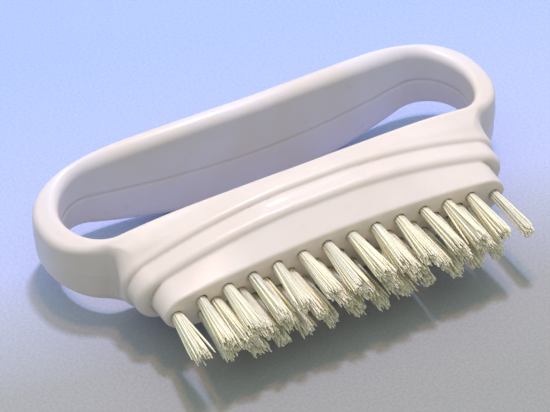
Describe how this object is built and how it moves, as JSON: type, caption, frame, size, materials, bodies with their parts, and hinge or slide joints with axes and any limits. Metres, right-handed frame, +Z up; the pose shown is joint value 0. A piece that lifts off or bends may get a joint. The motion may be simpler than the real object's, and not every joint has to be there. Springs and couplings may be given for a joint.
{
  "type": "nail brush",
  "caption": "Nail brush lying on its side: white moulded body with a long finger loop and a stepped bristle block set with rows of stiff bristle tufts.",
  "frame": {"origin": "centre of the whole brush's bounding box, at the surface that it lies on", "axes": "+X along the brush, +Y from the bristles to the back of the handle loop, +Z up through the brush's width as it lies on its side"},
  "size_m": [0.0936, 0.0514, 0.022],
  "materials": {
    "body_plastic": "glossy white moulded plastic",
    "bristle": "cream nylon filament",
    "anchor_wire": "flat drawn wire"
  },
  "bodies": {
    "root": {"brush_body": "body_plastic", "tuft_top_1": "bristle", "tuft_top_2": "bristle", "tuft_top_3": "bristle", "tuft_top_4": "bristle", "tuft_top_5": "bristle", "tuft_top_6": "bristle", "tuft_top_7": "bristle", "tuft_top_8": "bristle", "tuft_top_9": "bristle", "tuft_top_10": "bristle", "tuft_top_11": "bristle", "tuft_top_12": "bristle", "tuft_low_1": "bristle", "tuft_low_2": "bristle", "tuft_low_3": "bristle", "tuft_low_4": "bristle", "tuft_low_5": "bristle", "tuft_low_6": "bristle", "tuft_low_7": "bristle", "tuft_low_8": "bristle", "tuft_low_9": "bristle", "tuft_low_10": "bristle", "tuft_low_11": "bristle", "tuft_low_12": "bristle", "tuft_mid_1": "bristle", "tuft_mid_2": "bristle", "tuft_mid_3": "bristle", "tuft_mid_4": "bristle", "tuft_mid_5": "bristle", "tuft_mid_6": "bristle", "tuft_mid_7": "bristle", "tuft_mid_8": "bristle", "tuft_mid_9": "bristle", "tuft_mid_10": "bristle", "tuft_mid_11": "bristle", "tuft_end_left": "bristle", "tuft_end_right": "bristle", "anchors_top_row": "anchor_wire", "anchors_low_row": "anchor_wire", "anchors_mid_row": "anchor_wire", "anchors_ends": "anchor_wire"}
  },
  "joints": []
}
